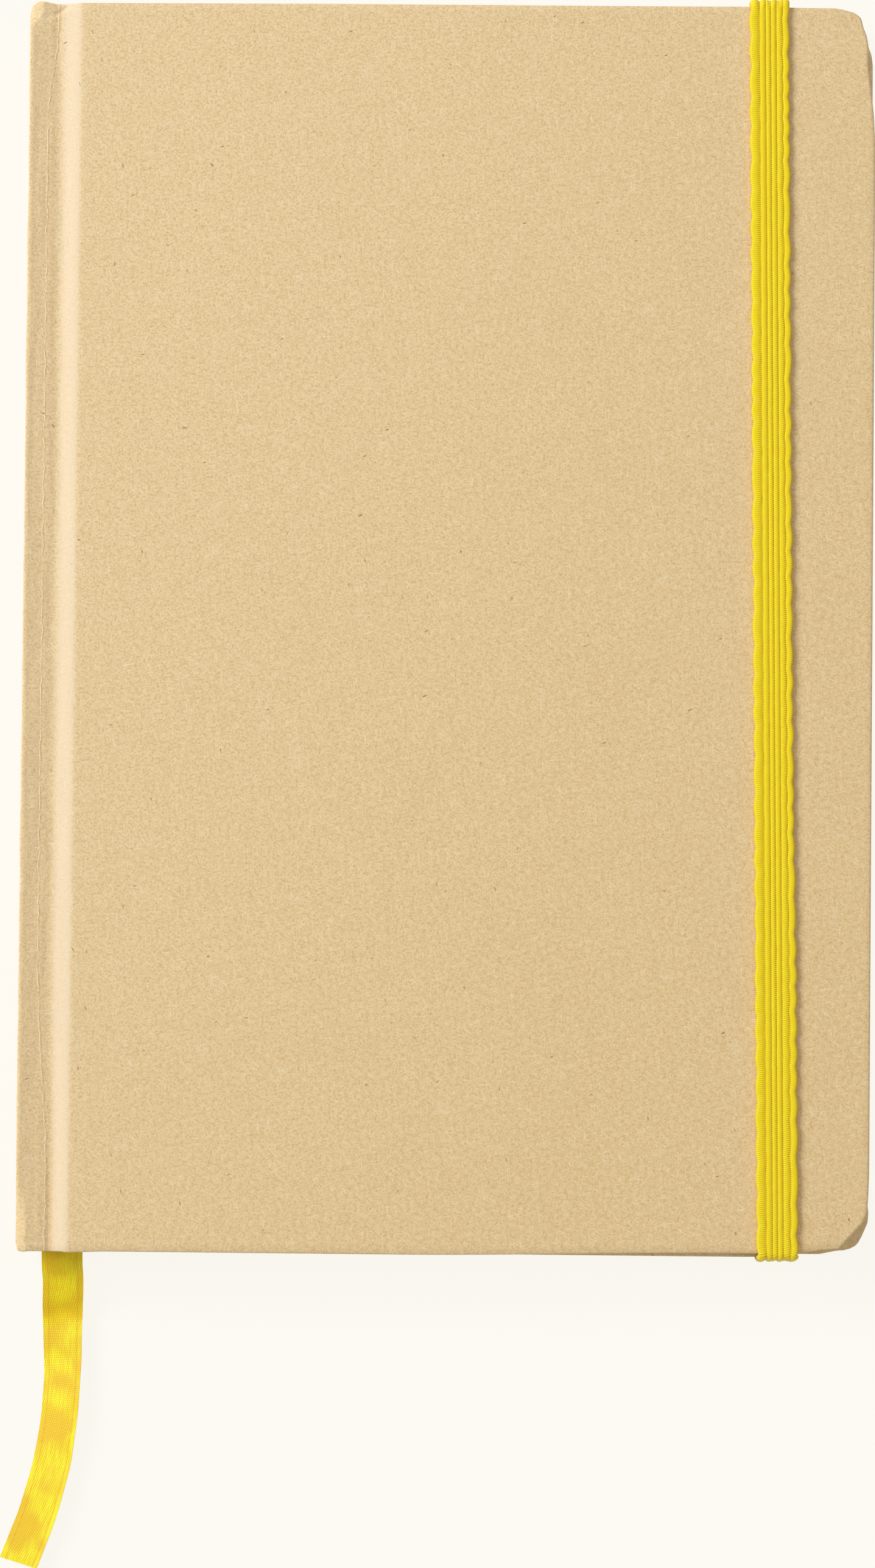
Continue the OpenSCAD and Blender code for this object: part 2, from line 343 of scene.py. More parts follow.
def case_columns():
    """Columns from the middle of the spine to the fore-edge: x, z, thickness, way in."""
    columns = []
    for z in steps(MID_Z, RIDGE_Z - RIDGE_R, 0.8):
        columns.append((0, z, SPINE_T, (1, 0)))
    for degrees in range(160, 89, -23):
        a = math.radians(degrees)
        columns.append((RIDGE_R * (1 + math.cos(a)), RIDGE_Z - RIDGE_R * (1 - math.sin(a)),
                        SPINE_T, (-math.cos(a), -math.sin(a))))
    for x in steps(0.6, GROOVE_X, 0.25) + steps(GROOVE_X + 0.15, BOARD_X, 0.25):
        thickness = JOINT_T + (SPINE_T - JOINT_T) * smooth(2.2, SPINE_T, x)
        thickness += (COVER_T - JOINT_T) * smooth(BOARD_X - 0.35, BOARD_X, x)
        columns.append((x, FRONT_Z - joint_dip(x), thickness, (0, -1)))
    slit = [BAND_X - SLIT_W / 2, BAND_X + SLIT_W / 2]
    xs = steps(BOARD_X + 0.4, BOARD_X + 2, 0.4) + steps(BOARD_X + 3.5, slit[0], 1.8)
    xs += steps(slit[0] + SLIT_W / 6, slit[1], 1.2) + steps(slit[1] + 0.6, COVER_W - 2.4, 0.6)
    xs += steps(COVER_W - 2, COVER_W - EDGE_R, 0.2)
    for x in xs:
        columns.append((x, FRONT_Z - joint_dip(x), COVER_T, (0, -1)))
    return columns


# Rounded corners as the photograph shows them: distance in from the head or tail edge, and
# how far the fore-edge is drawn in there
FRONT_HEAD = [(0, 3.75), (0.33, 2.85), (0.85, 2.45), (2.2, 2.15), (3.85, 1.55), (5.65, 1.25),
              (7.5, 1.3), (9.2, 1.25), (12.8, 0.88), (18.5, 0.25), (24, 0)]
FRONT_TAIL = [(0, 5.0), (0.37, 4.5), (1.1, 3.86), (2.0, 3.1), (2.77, 2.37), (3.8, 1.47),
              (4.55, 0.8), (6.1, 0.3), (9, 0.12), (13, 0)]
BACK_HEAD = [(0, 4.0), (0.3, 3.0), (0.8, 2.3), (1.8, 1.6), (3.2, 0.9), (5, 0.3), (7, 0)]
BACK_TAIL = [(0, 3.5), (0.3, 2.3), (0.65, 1.55), (1.7, 0.95), (2.9, 0.3), (4.4, -0.3),
             (6.4, -0.42), (9, -0.2), (12, 0)]
ROW_GAPS = (0.08, 0.1, 0.12, 0.15, 0.2, 0.2, 0.25, 0.3, 0.3, 0.3, 0.35, 0.35, 0.4, 0.4, 0.4,
            0.5, 0.5, 0.6, 0.7, 0.8, 0.8, 0.8, 0.8)


def between(table, value):
    """The second column of a table at a value of the first, in straight lines."""
    for (a, low), (b, high) in zip(table, table[1:]):
        if value <= b:
            return low + (high - low) * (max(value, a) - a) / (b - a)
    return table[-1][1]


def case_rows():
    """Rows from tail to head, closer together at the ends and cut at the slits."""
    reach = HALF_H - EDGE_R
    end = [0.0]
    for gap in ROW_GAPS:
        end.append(end[-1] + gap)
    slit = [SLIT_Y - SLIT_H / 2, SLIT_Y + SLIT_H / 2]
    rows = [-reach + e for e in end if reach - e > slit[1] + 0.2] + [-slit[1], -slit[0]]
    rows += steps(-slit[0] + 1, slit[0] - 1, 1.5)
    return rows + [slit[0], slit[1]] + [-y for y in reversed(rows[:rows.index(-slit[1])])]


def right_edge(y, head, tail):
    """X of the cover's fore-edge at height y, inside the edge rounding."""
    inner = HALF_H - EDGE_R - abs(y)
    table = head if y > 0 else tail
    drawn_in = sum(between(table, max(0, inner + d)) for d in (-0.15, 0, 0.15)) / 3
    return COVER_W - EDGE_R - drawn_in


def crease(x, y, start, end, depth, width):
    """Depth of a pressed line from start to end, fading at both of its ends."""
    a, b, p = Vector(start), Vector(end), Vector((x, y))
    line = b - a
    t = (p - a).dot(line) / line.length_squared
    off = (p - (a + line * min(max(t, 0), 1))).length
    return depth * bell(off, width) * smooth(-0.15, 0.15, t) * smooth(1.15, 0.85, t)


def edge_fall(distance, reach, depth):
    """The soft shoulder where paper and board fall away towards an edge."""
    return depth * max(0, 1 - distance / reach) ** 2


def spine_flare(x, y):
    """How far the spine's ridge is pressed down at its ends, where it slopes to the left."""
    head = HALF_H - y
    tail = HALF_H + y
    at_tail = 1.25 * smooth(14, 4, tail) * max(0, 1 - x / (1.2 + 0.8 * smooth(14, 3, tail)))
    at_head = 1.35 * smooth(5, 1.5, head) * max(0, 1 - x / (0.8 + 1.7 * smooth(5, 1.5, head)))
    return at_tail + at_head


# Pressed lines near the front cover's corners: the end that they are measured from, start,
# end, depth and width
CREASES = (
    ("head", (1.0, 4.6), (2.4, 2.5), 0.12, 0.3), ("head", (2.6, 2.6), (4.8, 1.9), 0.16, 0.35),
    ("head", (4.8, 1.9), (6.9, 0.5), 0.30, 0.35), ("tail", (1.9, 1.9), (5.2, 1.5), 0.14, 0.25),
    ("head", (136.9, 0.7), (143.4, 4.6), 0.16, 0.22),
    ("head", (138.5, 0.2), (142.9, 3.0), 0.12, 0.2),
    ("head", (140.2, 8.8), (141.2, 10.3), 0.07, 0.13),
    ("head", (141.2, 10.3), (143.9, 9.6), 0.07, 0.13),
)


def front_relief(x, y):
    """How far the front half is pressed in, in millimetres, at a point of the outer face."""
    head = HALF_H - y
    tail = HALF_H + y
    depth = 0.05 * wander(x * 0.03, y * 0.03, 1) + 0.03 * wander(x * 0.09, y * 0.09, 2)
    depth += 0.014 * wander(x * 0.5, y * 0.5, 4)
    near_spine = smooth(BOARD_X, GROOVE_X, x)
    depth += near_spine * 0.09 * wander(x * 0.35, y * 0.10, 5)
    depth += near_spine * 0.05 * wander(x * 0.9, y * 0.35, 6)
    depth += edge_fall(head, 1.3, 0.20) + edge_fall(tail, 1.5, 0.34)
    depth += edge_fall(COVER_W - x, 1.2, 0.12)
    depth += 0.20 * smooth(36, 10, tail) * bell(x - GROOVE_X - 0.5, 0.35)
    for end, *line in CREASES:
        depth += crease(x, head if end == "head" else tail, *line)
    depth += 0.35 * smooth(4, 0, head) * smooth(137.5, 143.5, x)
    depth += 0.20 * smooth(6, 0, tail) * smooth(136, 144, x)
    return depth


def back_relief(x, y):
    """The same for the back half, which is smoother."""
    depth = 0.05 * wander(x * 0.03, y * 0.03, 11) + 0.02 * wander(x * 0.2, y * 0.2, 12)
    head = HALF_H - y
    tail = HALF_H + y
    depth += edge_fall(head, 1.3, 0.2) + edge_fall(tail, 1.3, 0.2)
    depth += 0.3 * smooth(5, 0, tail) * smooth(137, 144, x)
    return depth


def tail_short(x):
    """How far the front cover stops short of the back cover at the tail."""
    return 0.8 * smooth(66, 122, x)


def end_shift(x, y, ridge, front):
    """How far a point near the head or tail is moved along Y from a straight edge."""
    at_tail = smooth(HALF_H - 25, HALF_H, -y)
    at_head = smooth(HALF_H - 25, HALF_H, y)
    up = 0.8 * rounding(x, 1.5) * smooth(3, 0, HALF_H + y)
    up -= 0.2 * smooth(16, 10, x) * smooth(6, 0, HALF_H + y)
    down = (rounding(x, 1.9) - 0.44 * bell(x - 2.5, 1.5) * ridge) * smooth(3, 0, HALF_H - y)
    if front:
        up += tail_short(x) * smooth(0, -HALF_H, y) + 0.9 * smooth(131, 140, x) * at_tail
        down += (0.24 * smooth(40, 125, x) + 0.2 * smooth(122, 137, x)) * at_head
        down += 0.85 * smooth(137.5, 142.5, x) * at_head
    else:
        up -= 0.2 * smooth(60, 90, x) * smooth(132, 124, x) * at_tail
        up += (0.4 * smooth(128, 134, x) + 0.7 * smooth(136.5, 141.5, x)) * at_tail
        down += 0.9 * smooth(137, 142.5, x) * at_head
    return up - down


def joint_shift(x, y):
    """How far the joint's groove wanders to the right, more towards the tail."""
    along = 0.35 * smooth(-55, -100, y) - 0.12 * smooth(60, 100, y)
    return (along + 0.08 * wander(0, y * 0.05, 8)) * bell(x - GROOVE_X - 0.6, 1.6)


class CaseHalf:
    """Mesh of one half of the case: an outer face, and its edge swept round and turned in."""

    def __init__(self, front):
        self.front = front
        self.corners = (FRONT_HEAD, FRONT_TAIL) if front else (BACK_HEAD, BACK_TAIL)
        self.columns = case_columns()
        self.rows = case_rows()
        self.points, self.uvs, self.faces = [], [], []
        self.arc = running_lengths(self.columns)
        self.draw_face()
        self.draw_edge()

    def fitted(self, column, y):
        """X and arc length of a column in a row, drawn in towards the rounded corners."""
        x = self.columns[column][0]
        start = BAND_X + SLIT_W / 2
        edge = right_edge(y, *self.corners)
        if x > start:
            shift = (x - start) * ((edge - start) / (COVER_W - EDGE_R - start) - 1)
        else:
            shift = 0
        return x + shift, self.arc[column] + shift

    def outer(self, column, y):
        """A point of the outer face, and its place in the flat sheet."""
        x, u = self.fitted(column, y)
        x += SPINE_SET * smooth(1.8, 0, x) + joint_shift(x, y)
        _, z, _, inward = self.columns[column]
        ridge = smooth(MID_Z + 1, RIDGE_Z - 1.5, z)
        depth = (front_relief if self.front else back_relief)(x, y)
        depth *= smooth(0, 0.6, self.arc[column]) * (ridge if x < SPINE_SET + 0.01 else 1)
        z -= spine_flare(x, y) * min(1, (z - MID_Z) / (RIDGE_Z - MID_Z))
        y += end_shift(x, y, ridge, self.front)
        return [x + inward[0] * depth, y, z + inward[1] * depth], (u, y)

    def mirrored(self, p):
        return (p[0], p[1], p[2] if self.front else 2 * MID_Z - p[2])

    def add(self, p, uv):
        self.points.append(self.mirrored(p))
        self.uvs.append(uv)
        return len(self.points) - 1

    def add_face(self, corners):
        self.faces.append(tuple(corners if self.front else reversed(corners)))

    def in_slit(self, x, y):
        inside = abs(x - BAND_X) < SLIT_W / 2 and abs(abs(y) - SLIT_Y) < SLIT_H / 2
        return inside and not self.front

    def draw_face(self):
        self.grid = [
            [self.add(*self.outer(c, y)) for c in range(len(self.columns))] for y in self.rows
        ]
        for r in range(len(self.rows) - 1):
            for c in range(len(self.columns) - 1):
                middle_x = (self.columns[c][0] + self.columns[c + 1][0]) / 2
                middle_y = (self.rows[r] + self.rows[r + 1]) / 2
                if self.in_slit(middle_x, middle_y):
                    continue
                self.add_face((self.grid[r][c], self.grid[r][c + 1],
                               self.grid[r + 1][c + 1], self.grid[r + 1][c]))

    def border(self):
        """The outer face's edge from the spine round the tail, fore-edge and head: the
        point's index, column, and the way out in the plane of the cover."""
        last = len(self.columns) - 1
        line = [(self.grid[0][c], c) for c in range(last)]
        line += [(row[last], last) for row in self.grid]
        line += [(self.grid[-1][c], c) for c in range(last - 1, -1, -1)]
        ways = []
        for n, (index, column) in enumerate(line):
            before = self.points[line[max(n - 1, 0)][0]]
            after = self.points[line[min(n + 1, len(line) - 1)][0]]
            way = Vector((after[1] - before[1], before[0] - after[0]))
            ends = Vector((0, -1 if n < len(line) / 2 else 1))
            round_it = way.length > 0.02 and self.columns[column][0] > 2.5
            ways.append(way.normalized() if round_it else ends)
        return [(index, column, tuple(way)) for (index, column), way in zip(line, ways)]

    def edge_section(self, thickness):
        """Steps out and in along the wrapped edge, as (out, in), from the outer face."""
        e = min(EDGE_R, thickness / 2)
        quarter = [math.radians(a) for a in (30, 60, 90)]
        section = [(e * math.sin(a), e * (1 - math.cos(a))) for a in quarter]
        section.append((e, thickness * 0.5))
        for a in [0] + quarter:
            section.append((e * math.cos(a), thickness - e * (1 - math.sin(a))))
        return section

    def draw_edge(self):
        line = self.border()
        rings = []
        for index, column, out in line:
            p = Vector(self.points[index])
            if not self.front:
                p.z = 2 * MID_Z - p.z
            thickness, inward = self.columns[column][2:]
            on_board = self.columns[column][0] > BOARD_X
            squeeze = (p.z - FRONT_Z + COVER_T) / COVER_T if on_board else 1
            uv = Vector(self.uvs[index])
            ring, run, before = [index], 0.0, (0.0, 0.0)
            for step_out, step_in in self.edge_section(thickness):
                run += math.hypot(step_out - before[0], step_in - before[1])
                before = (step_out, step_in)
                pleat = self.pleat(p, out, step_in / thickness)
                q = p + Vector((inward[0] * step_in + out[0] * (step_out + pleat),
                                out[1] * (step_out + pleat), inward[1] * step_in * squeeze))
                ring.append(self.add(q, tuple(uv + Vector(out) * run)))
            turned = Vector((min(q.x, COVER_W - TURN_IN),
                             min(max(q.y, TURN_IN - HALF_H), HALF_H - TURN_IN), q.z))
            run += (turned - q).length
            ring.append(self.add(turned, tuple(uv + Vector(out) * run)))
            rings.append(ring)
        for a, b in zip(rings, rings[1:]):
            for k in range(len(a) - 1):
                self.add_face((a[k + 1], b[k + 1], b[k], a[k]))

    def pleat(self, p, out, share):
        """Small folds where the paper is gathered round a corner's edge."""
        gathered = min(1, 3 * abs(out[0] * out[1]))
        angle = math.atan2(out[1], out[0])
        return -0.12 * gathered * smooth(0.1, 0.7, share) * (1 + math.sin(angle * 26)) / 2


def make_case_half(front):
    drawn = CaseHalf(front)
    obj = add_mesh("kraft_case_front" if front else "kraft_case_back",
                   drawn.points, drawn.faces, drawn.uvs)
    thicken(obj, WRAP_T)
    sharpen(obj, 60)
    if front:
        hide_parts("spine_paper", "front_joint_paper", "front_cover_paper")
    else:
        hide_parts("back_joint_paper", "back_cover_paper")
    return obj


def turn_with_cover(obj):
    """Moves a sheet's placement into its mesh, leaving the object at the origin."""
    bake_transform(obj)


case_front = make_case_half(True)
turn_with_cover(case_front)
case_back = make_case_half(False)
turn_with_cover(case_back)


# Card inside the spine, and the boards inside the wrap, cut to the same worn corners

CARD_X = (0.66, 0.8, 1.05, 1.25)
CARD_SET = 1.3
CARD_END = 1.6
CARD_ROUND = 0.25
BOARD_INSET = EDGE_R + WRAP_T + 0.25
BOARD_START = BOARD_X + 0.2


def make_spine_card():
    low, high = 2 * MID_Z - RIDGE_Z + CARD_SET, RIDGE_Z - CARD_SET
    half_h = HALF_H - CARD_END
    left, left_round, right_round, right = CARD_X
    outline = [(right_round, low), (right, low + CARD_ROUND), (right, high - CARD_ROUND),
               (right_round, high), (left_round, high), (left, high - CARD_ROUND),
               (left, low + CARD_ROUND), (left_round, low)]
    rows = steps(-half_h, half_h, 12)
    points = [(x + 0.35 * smooth(8, 0, HALF_H - abs(y)), y, z) for y in rows for x, z in outline]
    count = len(outline)
    faces = [tuple(range(count)), tuple(reversed(range(len(points) - count, len(points))))]
    for n in range(len(rows) - 1):
        faces += bridge((n + 1) * count, n * count, count, closed=True)
    obj = add_mesh("spine_stiffener", points, faces, [(p[2], p[1]) for p in points])
    sharpen(obj, 30)
    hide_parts("spine_card")
    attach(obj, "text_block")
    return obj


spine_stiffener = make_spine_card()


def make_board(front):
    corners = (FRONT_HEAD, FRONT_TAIL) if front else (BACK_HEAD, BACK_TAIL)
    outline = [(BOARD_START, -HALF_H + 2)]
    for y in case_rows():
        x = right_edge(y, *corners) - 0.35
        y += end_shift(x, y, 1, front)
        inset = BOARD_INSET * smooth(HALF_H - 6, HALF_H - 3, abs(y))
        outline.append((x, y - math.copysign(inset, y)))
    outline.append((BOARD_START, HALF_H - 2))
    low, high = front_low.z + WRAP_T + 0.05, front_high.z - WRAP_T - 0.45
    if not front:
        low, high = 2 * MID_Z - high, 2 * MID_Z - low
    points = [(x, y, z) for z in (low, high) for x, y in outline]
    side = "front" if front else "back"
    obj = add_mesh("grey_board_" + side, points, tube(len(outline), 2), outline * 2)
    sharpen(obj, 30)
    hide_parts(side + "_board")
    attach(obj, side + "_cover")
    return obj


boards = make_board(True), make_board(False)


# Endpapers: the pastedown on each board and its flyleaf, both running into the gutter

PASTE_MARGIN = 2.5
GUTTER_X = block_low.x + 0.25


def sheet_rows(half_h, radius):
    """Rows for a sheet with rounded corners, from tail to head."""
    corner = [radius * (1 - math.cos(math.radians(a))) for a in range(0, 91, 10)]
    middle = steps(-half_h + radius, half_h - radius, 6)[1:-1]
    return [-half_h + c for c in corner] + middle + [half_h - c for c in reversed(corner)]


def sheet_right(y, half_h, width, radius):
    over = max(0, abs(y) - (half_h - radius))
    return width - radius + math.sqrt(max(0, radius ** 2 - over ** 2))


def add_leaf(name, level, half_h, width, radius, front):
    """A sheet of paper from the gutter to the fore-edge; level gives its height at each x."""
    xs = steps(GUTTER_X, BOARD_X + 2, 0.4) + steps(BOARD_X + 6, width, 5)
    rows = sheet_rows(half_h, radius)
    points, uvs = [], []
    for y in rows:
        edge = sheet_right(y, half_h, width, radius)
        for x in xs:
            x = GUTTER_X + (x - GUTTER_X) * (edge - GUTTER_X) / (width - GUTTER_X)
            z = level(x)
            points.append((x, y, z if front else 2 * MID_Z - z))
            uvs.append((x, y))
    faces = []
    for r in range(len(rows) - 1):
        faces += bridge(r * len(xs), (r + 1) * len(xs), len(xs))
    if not front:
        faces = [tuple(reversed(f)) for f in faces]
    obj = add_mesh(name, points, faces, uvs)
    thicken(obj, PAPER_T)
    return obj


def fly_level(x):
    """Upper face of the front flyleaf, lying on the pages."""
    return block_high.z + PAPER_T + 0.01


def paste_level(x):
    """Upper face of the front pastedown: under the board, and down the joint to the gutter."""
    under_board = front_low.z - 0.01
    in_gutter = block_high.z + 2 * PAPER_T + 0.02
    under_groove = FRONT_Z - joint_dip(x) - WRAP_T - 0.03
    joint = min(under_groove, under_board)
    return in_gutter + (max(in_gutter, joint) - in_gutter) * smooth(GUTTER_X, 4.2, x)


def make_endpapers(front):
    side, cover = ("front", "front_cover") if front else ("back", "back_cover")
    paste = add_leaf("pastedown_" + side, paste_level, HALF_H - PASTE_MARGIN,
                     COVER_W - PASTE_MARGIN, 5.5, front)
    fly = add_leaf("flyleaf_" + side, fly_level, block_high.y, block_high.x, 6, front)
    for obj in (paste, fly):
        turn_with_cover(obj)
    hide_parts(side + "_endpaper")
    return paste, fly


endpapers = make_endpapers(True) + make_endpapers(False)


# Page block: the leaves one by one, with the ribbon's notch at head and tail

LEAVES = 80
PAGE_R = 6
LEAF_GAP = 0.012
NOTCH_D = 3


def leaf_outline(index):
    """Corners of one leaf, each leaf trimmed very slightly out of line with the next."""
    x_in = block_low.x
    x_out = block_high.x - 0.10 + 0.10 * wander(index * 0.7, 0, 21)
    half_h = block_high.y - 0.08 + 0.08 * wander(index * 0.9, 0, 22)
    outline = [(x_in, -half_h)]
    for sign, angles in ((-1, range(-90, 1, 10)), (1, range(0, 91, 10))):
        for a in angles:
            a = math.radians(a)
            outline.append((x_out - PAGE_R + PAGE_R * math.cos(a),
                            sign * (half_h - PAGE_R) + PAGE_R * math.sin(a)))
    outline.append((x_in, half_h))
    return outline


def notch_outline(outline):
    """The outline with a notch at head and tail, where the ribbon passes between leaves."""
    left, right = RIBBON_SET - RIBBON_W / 2 - 0.1, RIBBON_SET + RIBBON_W / 2 + 0.1
    tail_y, head_y = outline[0][1], outline[-1][1]
    tail = [(left, tail_y), (left, tail_y + NOTCH_D), (right, tail_y + NOTCH_D), (right, tail_y)]
    head = [(right, head_y), (right, head_y - NOTCH_D), (left, head_y - NOTCH_D), (left, head_y)]
    return [outline[0]] + tail + outline[1:-1] + head + [outline[-1]]


def make_page_block():
    pitch = (block_high.z - block_low.z) / LEAVES
    points, faces, uvs = [], [], []
    for index in range(LEAVES):
        low = block_low.z + index * pitch
        outline = leaf_outline(index)
        if abs(low + pitch / 2 - RIBBON_Z) < 0.2:
            outline = notch_outline(outline)
        start, count = len(points), len(outline)
        for z in (low + LEAF_GAP, low + pitch - LEAF_GAP):
            points += [(x, y, z) for x, y in outline]
            uvs += outline
        faces += tube(count, 2, start)
    obj = add_mesh("ruled_leaves", points, faces, uvs)
    sharpen(obj, 30)
    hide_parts("page_block")
    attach(obj, "text_block")
    return obj


page_leaves = make_page_block()


# Elastic band: covered cords side by side, swept round the case and in through the slits

BAND_W = 6.6
CORD_WIDTHS = (1.62, 1.06, 0.86, 0.94, 1.06, 1.06)
CORD_STEPS = 8
SCALLOP_PITCH = 4.9
TAB_EASE = 14


def band_route():
    """Centreline of the band in its own plane: y, z and the way out, and its length so far."""
    high = band_high.z - BAND_T / 2
    low = band_low.z + BAND_T / 2
    edge = HALF_H + 0.05 + BAND_T / 2
    turn = edge - BAND_BEND
    short = tail_short(BAND_X) - 0.1
    tab_z = back_high.z - 0.2 - 0.02 - BAND_T / 2
    head = []

    def bend(y, z, start, sense=-1):
        """A quarter turn about y, z from the angle start; sense is 1 counterclockwise."""
        for a in range(0, 91, 15):
            a = math.radians(start + sense * a)
            head.append((y + BAND_BEND * math.cos(a), z + BAND_BEND * math.sin(a),
                         -sense * math.cos(a), -sense * math.sin(a)))

    for y in steps(0, turn - 0.4, 0.4):
        head.append((y, high, 0, 1))
    bend(turn, high - BAND_BEND, 90)
    for z in steps(high - BAND_BEND - 0.5, low + BAND_BEND + 0.5, 0.6):
        head.append((edge, z, 1, 0))
    bend(turn, low + BAND_BEND, 0)
    for y in steps(turn - 0.4, SLIT_Y + BAND_BEND + 0.4, 0.5):
        head.append((y, low, 0, -1))
    bend(SLIT_Y + BAND_BEND, low + BAND_BEND, -90)
    bend(SLIT_Y - BAND_BEND, tab_z - BAND_BEND, 0, 1)
    for y in steps(SLIT_Y - BAND_BEND - 1, SLIT_Y - BAND_BEND - TAB_L, 2):
        head.append((y, tab_z, 0, -1))
    tail = []
    for y, z, oy, oz in head[1:]:
        shift = short * smooth(low + BAND_BEND, high, z) * smooth(turn - 25, turn, y)
        tail.append((-y + shift, z, -oy, oz))
    route = list(reversed(tail)) + head
    return route, running_lengths(route)


def band_section():
    """Half section of the band: place across, height as a share, and the cord's number."""
    section, left = [], -BAND_W / 2
    for number, width in enumerate(CORD_WIDTHS):
        for k in range(CORD_STEPS + (number == len(CORD_WIDTHS) - 1)):
            q = k / CORD_STEPS
            height = 0.66 + 0.34 * math.sin(math.pi * q) ** 0.6
            section.append((left + width * q, height, number))
        left += width
    section[0] = (section[0][0], 0.25, 0)
    section[-1] = (section[-1][0], 0.25, len(CORD_WIDTHS) - 1)
    return section


def scallop(along, side):
    """How far an edge of the band stands out, in rounded bulges along its length."""
    drift = 1.1 * wander(along * 0.045, side * 7, 31)
    wave = abs(math.sin(math.pi * (along / SCALLOP_PITCH + drift + 0.4 * side)))
    return 0.30 * (wave - 0.62) + 0.10 * wander(along * 0.12, side * 3, 32)


def make_band():
    route, lengths = band_route()
    section = band_section()
    turn = Matrix.Rotation(BAND_SLANT, 3, "Z")
    points, uvs = [], []
    for (y, z, out_y, out_z), along in zip(route, lengths):
        left = lengths[-1] - along
        on_case = smooth(TAB_L, TAB_L + TAB_EASE, along) * smooth(TAB_L, TAB_L + TAB_EASE, left)
        spread = {-1: scallop(along, -1) * on_case, 1: scallop(along, 1) * on_case}
        spread[1] += 0.3 * smooth(-25, -60, y) * on_case
        wrapped = smooth(HALF_H - 0.8, HALF_H, abs(y))
        for face in (1, -1):
            for across, height, number in section if face > 0 else reversed(section):
                edge = -1 if across < 0 else 1
                reach = smooth(0.25, 1, abs(across) / (BAND_W / 2))
                x = across + edge * spread[edge] * reach
                lobe = abs(math.sin(math.pi * 4 * (across / BAND_W + 0.5))) - 0.6
                x += 0.05 * wander(along * 0.2, number * 5, 33)
                swell = 1 + 0.10 * wander(along * 0.35, number * 9, 34)
                lift = face * BAND_T / 2 * height * (swell if face > 0 else 0.92)
                lift += 0.22 * lobe * wrapped * (face > 0)
                p = turn @ Vector((x, y + out_y * lift, 0))
                points.append((p.x + BAND_X, p.y, z + out_z * lift))
                uvs.append((across, along))
    obj = add_mesh("elastic_cords", points, tube(2 * len(section), len(route)), uvs)
    sharpen(obj, 60)
    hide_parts("elastic_band")
    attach(obj, "back_cover")
    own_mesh(obj)
    return obj


band = make_band()


# Materials

def linear(red, green, blue):
    """A colour as seen on screen, 0 to 255, as the shader wants it."""
    def channel(c):
        c /= 255
        return c / 12.92 if c <= 0.04045 else ((c + 0.055) / 1.055) ** 2.4
    return (channel(red), channel(green), channel(blue), 1)


def node(tree, kind, inputs=None, **settings):
    """Adds a shader node. An input given as a socket is linked, and any other is set."""
    made = tree.nodes.new("ShaderNode" + kind)
    for name, value in settings.items():
        setattr(made, name, value)
    for name, value in (inputs or {}).items():
        if isinstance(value, bpy.types.NodeSocket):
            tree.links.new(value, made.inputs[name])
        else:
            made.inputs[name].default_value = value
    return made


def calc(tree, operation, a, b=0.0, c=0.0):
    """The result of a Math node."""
    return node(tree, "Math", {0: a, 1: b, 2: c}, operation=operation).outputs[0]


def remap(tree, value, low, high, to_low=0.0, to_high=1.0):
    """value moved from low..high to to_low..to_high with a soft step, clamped."""
    return node(tree, "MapRange", {
        "Value": value, "From Min": low, "From Max": high, "To Min": to_low, "To Max": to_high,
    }, interpolation_type="SMOOTHSTEP").outputs["Result"]


def times(tree, a, b):
    return calc(tree, "MULTIPLY", a, b)


def joined(tree, operation, sockets):
    """All the sockets put together by one operation, one after the other."""
    total = sockets[0]
    for socket in sockets[1:]:
        total = calc(tree, operation, total, socket)
    return total


def apart(tree, a, b):
    """How far a is from b."""
    return calc(tree, "ABSOLUTE", calc(tree, "SUBTRACT", a, b))


def wave(tree, value, length):
    """A sine of the value, length long."""
    return calc(tree, "SINE", times(tree, value, 2 * math.pi / length))


def mix_colour(tree, share, a, b):
    """Colours a and b mixed; each is a socket, or red, green and blue as seen on screen."""
    a, b = (linear(*c) if isinstance(c, tuple) else c for c in (a, b))
    return node(tree, "Mix", {0: share, 6: a, 7: b}, data_type="RGBA").outputs[2]


def tint(tree, colour, share, shade, strength=None):
    """colour moved towards a shade by a share, or by that share times strength."""
    if strength:
        share = times(tree, share, strength)
    return mix_colour(tree, share, colour, shade)


def new_material(name, roughness, specular=0.3, sheen=0.0):
    """A material with its shader; returns the material, its tree and the shader."""
    material = bpy.data.materials.new(name)
    material.use_nodes = True
    tree = material.node_tree
    shader = tree.nodes["Principled BSDF"]
    shader.inputs["Roughness"].default_value = roughness
    shader.inputs["Specular IOR Level"].default_value = specular
    shader.inputs["Sheen Weight"].default_value = sheen
    return material, tree, shader


def bump(tree, shader, height, distance_mm, strength=1.0):
    made = node(tree, "Bump", {
        "Height": height, "Distance": distance_mm * MM, "Strength": strength,
    })
    tree.links.new(made.outputs[0], shader.inputs["Normal"])


def sheet_uv(tree):
    """Place on the flat sheet, in millimetres."""
    return node(tree, "UVMap", uv_map="sheet").outputs[0]


def noise_at(tree, vector, scale, detail=2.0, roughness=0.5):
    return node(tree, "TexNoise", {
        "Vector": vector, "Scale": scale, "Detail": detail, "Roughness": roughness,
    }).outputs["Fac"]


def fibres(tree, vector, angle, seed, length, width, few=0.3):
    """Short fibres lying one way, each with its own strength: a socket from 0 to 1."""
    turned = node(tree, "Mapping", {
        "Vector": vector, "Location": (seed * 13.7, seed * 7.1, 0),
        "Rotation": (0, 0, math.radians(angle)), "Scale": (length, width, 1),
    }, vector_type="TEXTURE")
    cells = node(tree, "TexVoronoi", {"Vector": turned.outputs[0], "Scale": 1.0},
                 voronoi_dimensions="2D")
    body = remap(tree, cells.outputs["Distance"], 0.36, 0.10)
    own = node(tree, "SeparateColor", {"Color": cells.outputs["Color"]}).outputs[0]
    return times(tree, body, remap(tree, own, few, 1.0))


